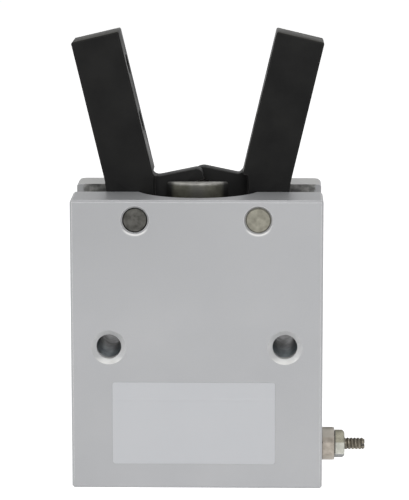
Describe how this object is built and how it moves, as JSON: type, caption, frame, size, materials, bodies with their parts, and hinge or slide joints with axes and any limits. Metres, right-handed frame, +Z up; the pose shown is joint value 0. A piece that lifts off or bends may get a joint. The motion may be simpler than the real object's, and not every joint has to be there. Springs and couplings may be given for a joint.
{
  "type": "pneumatic angular gripper",
  "caption": "Pneumatic angular gripper: slotted block body, two equal fingers with lapped arms on pivot pins, piston-driven fork with rollers, side throttle screw.",
  "frame": {"origin": "centre of the pilot bore in the bottom face, on the cylinder's axis", "axes": "+Z up along the cylinder to the fingers, -Y out of the front face with the pivot pins, +X to the side with the ports and the throttle"},
  "size_m": [0.0591, 0.03, 0.0905],
  "materials": {
    "anodised_body": "clear-anodised, fine matt",
    "black_steel": "blackened, satin",
    "ground_steel": "ground",
    "tempered_steel": "tempered, oiled",
    "hard_chrome": "hard-chromed",
    "turned_aluminium": "turned",
    "seal_rubber": "moulded",
    "spring_steel": "phosphated",
    "nickel_brass": "nickel-plated",
    "needle_steel": "blackened thread",
    "zinc_steel": "zinc-plated"
  },
  "bodies": {
    "gripper_body": {"body": "anodised_body", "left_pivot_pin": "ground_steel", "right_pivot_pin": "ground_steel", "rod_seal": "seal_rubber", "end_cap": "turned_aluminium", "end_cap_o_ring": "seal_rubber", "end_cap_clip": "spring_steel", "throttle_gland": "nickel_brass"},
    "drive": {"rod_fork": "tempered_steel", "drive_pin": "ground_steel", "piston_rod": "hard_chrome", "piston": "turned_aluminium", "piston_seal": "seal_rubber"},
    "left_jaw": {"left_finger": "black_steel"},
    "right_jaw": {"right_finger": "black_steel"},
    "front_drive_roller": {"front_roller": "ground_steel"},
    "centre_drive_roller": {"centre_roller": "ground_steel"},
    "rear_drive_roller": {"rear_roller": "ground_steel"},
    "needle_ring": {"throttle_o_ring": "seal_rubber"},
    "needle": {"throttle_needle": "needle_steel"},
    "lock_nut": {"throttle_lock_nut": "zinc_steel"}
  },
  "joints": [
    {"name": "left_finger_swing", "type": "hinge", "parent": "gripper_body", "child": "left_jaw", "pos_m": [-0.01217, 0, 0.05439], "axis": [0, -1, 0], "range_deg": [-18.3, 1.7]},
    {"name": "right_finger_swing", "type": "hinge", "parent": "gripper_body", "child": "right_jaw", "pos_m": [0.01217, 0, 0.05439], "axis": [0, 1, 0], "range_deg": [-18.3, 1.7]},
    {"name": "piston_stroke", "type": "slide", "parent": "gripper_body", "child": "drive", "axis": [0, 0, 1], "range_m": [-0.00396, 0.00037]},
    {"name": "front_roller_spin", "type": "hinge", "parent": "drive", "child": "front_drive_roller", "pos_m": [0, 0, 0.05727], "axis": [0, 1, 0], "continuous": true},
    {"name": "centre_roller_spin", "type": "hinge", "parent": "drive", "child": "centre_drive_roller", "pos_m": [0, 0, 0.05727], "axis": [0, 1, 0], "continuous": true},
    {"name": "rear_roller_spin", "type": "hinge", "parent": "drive", "child": "rear_drive_roller", "pos_m": [0, 0, 0.05727], "axis": [0, 1, 0], "continuous": true},
    {"name": "needle_travel", "type": "slide", "parent": "gripper_body", "child": "needle_ring", "axis": [1, 0, 0], "range_m": [0, 0.00175]},
    {"name": "needle_turn", "type": "hinge", "parent": "needle_ring", "child": "needle", "pos_m": [0.025, -0.008, 0.0073], "axis": [1, 0, 0], "range_deg": [0, 900]},
    {"name": "lock_nut_turn", "type": "hinge", "parent": "needle", "child": "lock_nut", "pos_m": [0.028, -0.008, 0.0073], "axis": [1, 0, 0], "range_deg": [0, 90]}
  ],
  "couplings": [
    {"joint": "right_finger_swing", "follows": "left_finger_swing", "ratio": 1},
    {"joint": "piston_stroke", "follows": "left_finger_swing", "m_per_rad": 0.0124},
    {"joint": "needle_turn", "follows": "needle_travel", "rad_per_m": 8976}
  ]
}
